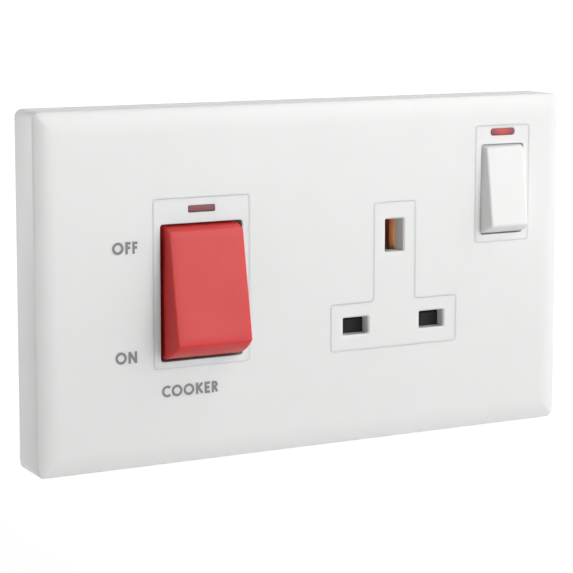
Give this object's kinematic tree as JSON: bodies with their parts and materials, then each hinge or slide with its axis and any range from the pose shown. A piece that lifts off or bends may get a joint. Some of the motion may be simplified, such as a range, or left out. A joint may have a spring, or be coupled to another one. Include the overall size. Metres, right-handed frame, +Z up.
{
  "type": "cooker control unit",
  "caption": "Wide white wall plate with a large red rocker switch for a cooker, a shuttered pin socket with a small white rocker, and a red neon window above each rocker.",
  "frame": {"origin": "midway between the two box-fixing holes, on the wall plane", "axes": "+X to the right seen from the front, +Z up, the front faces -Y"},
  "size_m": [0.146, 0.0435, 0.086],
  "materials": {
    "white_urea": "smooth gloss moulding",
    "red_plastic": "smooth satin red moulding",
    "neon_lens": "clear red lens",
    "black_nylon": "matt black moulding",
    "grey_moulding": "matt off-white moulding",
    "nylon": "natural nylon",
    "brass": "plain brass",
    "bronze": "phosphor bronze strip",
    "silver_tip": "silver alloy",
    "zinc_steel": "zinc plated",
    "spring_steel": "bright spring wire",
    "lamp_glass": "clear glass",
    "resistor_body": "lacquered body"
  },
  "bodies": {
    "unit": {"front_plate": "white_urea", "carrier": "white_urea", "cooker_neon_lens": "neon_lens", "switch_neon_lens": "neon_lens", "cooker_base": "grey_moulding", "socket_base": "grey_moulding", "supply_live_terminal": "brass", "supply_neutral_terminal": "brass", "load_live_terminal": "brass", "load_neutral_terminal": "brass", "earth_terminal": "brass", "live_link": "brass", "neutral_link": "brass", "live_strap": "brass", "earth_strap": "brass", "switch_supply_post": "brass", "live_contact": "bronze", "neutral_contact": "bronze", "earth_contact": "bronze", "cooker_live_fixed_tip": "silver_tip", "cooker_neutral_fixed_tip": "silver_tip", "switch_fixed_tip": "silver_tip", "cooker_terminal_screws": "zinc_steel", "cooker_base_screws": "zinc_steel", "socket_base_screws": "zinc_steel", "earth_terminal_screw": "zinc_steel", "shutter_spring": "spring_steel", "cooker_neon_lamp": "lamp_glass", "switch_neon_lamp": "lamp_glass", "cooker_neon_resistor": "resistor_body", "switch_neon_resistor": "resistor_body"},
    "cooker_rocker": {"cooker_rocker": "red_plastic", "cooker_live_plunger_spring": "spring_steel", "cooker_neutral_plunger_spring": "spring_steel"},
    "cooker_plungers": {"cooker_live_plunger": "nylon", "cooker_neutral_plunger": "nylon"},
    "cooker_arms": {"cooker_live_arm": "bronze", "cooker_neutral_arm": "bronze", "cooker_live_moving_tip": "silver_tip", "cooker_neutral_moving_tip": "silver_tip"},
    "switch_rocker": {"switch_rocker": "white_urea", "switch_plunger_spring": "spring_steel"},
    "switch_plunger": {"switch_plunger": "nylon"},
    "switch_arm": {"switch_arm": "bronze", "switch_moving_tip": "silver_tip"},
    "shutter": {"socket_shutter": "black_nylon"}
  },
  "joints": [
    {"name": "cooker_rocker_tilt", "type": "hinge", "parent": "unit", "child": "cooker_rocker", "pos_m": [-0.03075, -0.0092, -0.00125], "axis": [1, 0, 0], "range_deg": [0, 21]},
    {"name": "cooker_plunger_slide", "type": "slide", "parent": "cooker_rocker", "child": "cooker_plungers", "axis": [0, -0.9833, 0.1822], "range_m": [0, 0.0012], "stiffness_N_per_m": 1500, "springref_m": -0.002, "deforming": ["cooker_live_plunger_spring", "cooker_neutral_plunger_spring"]},
    {"name": "cooker_arm_tilt", "type": "hinge", "parent": "unit", "child": "cooker_arms", "pos_m": [-0.03075, 0.00605, -0.00125], "axis": [1, 0, 0], "range_deg": [-13, 0]},
    {"name": "switch_rocker_tilt", "type": "hinge", "parent": "unit", "child": "switch_rocker", "pos_m": [0.05505, -0.0097, 0.0189], "axis": [1, 0, 0], "range_deg": [0, 16.4]},
    {"name": "switch_plunger_slide", "type": "slide", "parent": "switch_rocker", "child": "switch_plunger", "axis": [0, -0.9898, 0.1426], "range_m": [0, 0.001], "stiffness_N_per_m": 900, "springref_m": -0.002, "deforming": ["switch_plunger_spring"]},
    {"name": "switch_arm_tilt", "type": "hinge", "parent": "unit", "child": "switch_arm", "pos_m": [0.05505, 0.00315, 0.0189], "axis": [1, 0, 0], "range_deg": [-14, 0]},
    {"name": "shutter_slide", "type": "slide", "parent": "unit", "child": "shutter", "axis": [0, 0, -1], "range_m": [0, 0.0058], "stiffness_N_per_m": 150, "springref_m": -0.004, "deforming": ["shutter_spring"]}
  ],
  "couplings": [
    {"joint": "cooker_arm_tilt", "follows": "cooker_rocker_tilt", "ratio": -0.61905},
    {"joint": "switch_arm_tilt", "follows": "switch_rocker_tilt", "ratio": -0.85366}
  ]
}
